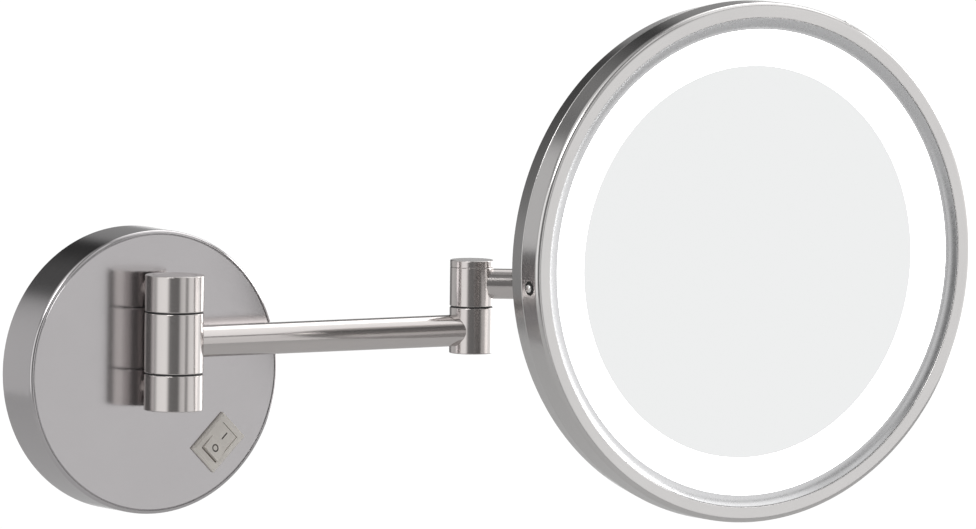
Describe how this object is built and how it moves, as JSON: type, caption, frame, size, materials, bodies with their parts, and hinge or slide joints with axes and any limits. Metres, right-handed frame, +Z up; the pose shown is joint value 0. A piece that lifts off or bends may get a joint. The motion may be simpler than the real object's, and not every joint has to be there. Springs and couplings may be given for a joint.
{
  "type": "extendable shaving mirror",
  "caption": "Lit round shaving mirror on a two-part swinging arm, with a swivel and tilt joint and a rocker switch on a round wall plate.",
  "frame": {"origin": "centre of the wall plate's back face, on the wall, midway between the two wall screws", "axes": "+X to the right along the wall, -Y out into the room, +Z up"},
  "size_m": [0.3942, 0.145, 0.2201],
  "materials": {
    "satin_nickel": "satin nickel plate, finely brushed",
    "steel": "plain zinc-plated",
    "bronze": "sintered bushing",
    "nylon": "matt",
    "rubber": "matt",
    "ivory_plastic": "semi-gloss",
    "mark_paint": "printed",
    "white_plastic": "matt white",
    "tab_brass": "plain",
    "trim": "satin",
    "mirror": "silvered glass",
    "opal": "lit opal acrylic",
    "led": "light emitter"
  },
  "bodies": {
    "wall_unit": {"wall_bracket": "steel", "wall_cover": "satin_nickel", "cover_lock_screw": "steel", "inlet_grommet": "rubber", "backing_plate": "steel", "post_upper": "satin_nickel", "post_lower": "satin_nickel", "post_nuts": "steel", "knuckle_upper": "satin_nickel", "knuckle_lower": "satin_nickel", "knuckle_spindle": "steel", "knuckle_nut": "steel", "knuckle_cap_top": "satin_nickel", "knuckle_cap_bottom": "satin_nickel", "knuckle_washers": "nylon", "switch_body": "ivory_plastic", "switch_terminals": "tab_brass", "led_driver": "white_plastic", "terminal_block": "nylon"},
    "rocker": {"switch_rocker": "ivory_plastic", "switch_marks": "mark_paint"},
    "arm": {"arm_barrel": "satin_nickel", "arm_bushing": "bronze", "arm_tube": "satin_nickel", "elbow_lower": "satin_nickel", "elbow_spindle": "steel", "elbow_nut": "steel", "elbow_cap_bottom": "satin_nickel", "elbow_washer": "nylon"},
    "reach": {"elbow_upper": "satin_nickel", "elbow_bushing": "bronze", "elbow_cap_top": "satin_nickel", "reach_tube": "satin_nickel", "reach_end": "satin_nickel", "reach_end_bushing": "bronze", "reach_end_cap": "satin_nickel", "swivel_washer": "nylon"},
    "swivel": {"swivel_knuckle": "satin_nickel", "swivel_pin": "steel", "swivel_nut": "steel", "swivel_cap": "satin_nickel"},
    "head": {"tilt_bracket": "satin_nickel", "tilt_washers": "nylon", "tilt_pin": "steel", "tilt_nut": "steel", "bracket_rivets": "steel", "head_rim": "satin_nickel", "back_cover": "satin_nickel", "rim_screws": "steel", "inner_trim": "trim", "mirror_glass": "mirror", "light_ring": "opal", "mirror_pad": "nylon", "light_pan": "white_plastic", "led_board": "white_plastic", "leds": "led", "pan_screws": "steel", "head_grommet": "rubber"}
  },
  "joints": [
    {"name": "arm_swing", "type": "hinge", "parent": "wall_unit", "child": "arm", "pos_m": [0, -0.04, 0.014], "axis": [0, 0, -1], "range_deg": [0, 150]},
    {"name": "elbow_swing", "type": "hinge", "parent": "arm", "child": "reach", "pos_m": [0.145, -0.04, 0.014], "axis": [0, 0, 1], "range_deg": [-57, 150]},
    {"name": "head_swivel", "type": "hinge", "parent": "reach", "child": "swivel", "pos_m": [0.22216, -0.09011, 0.03375], "axis": [0, 0, -1], "range_deg": [-60, 25]},
    {"name": "head_tilt", "type": "hinge", "parent": "swivel", "child": "head", "pos_m": [0.22288, -0.10609, 0.04805], "axis": [0.999, 0.0454, 0], "range_deg": [-30, 30]},
    {"name": "switch_rock", "type": "hinge", "parent": "wall_unit", "child": "rocker", "pos_m": [0.03076, -0.0234, -0.03076], "axis": [0.7071, 0, -0.7071], "range_deg": [0, 14]}
  ]
}
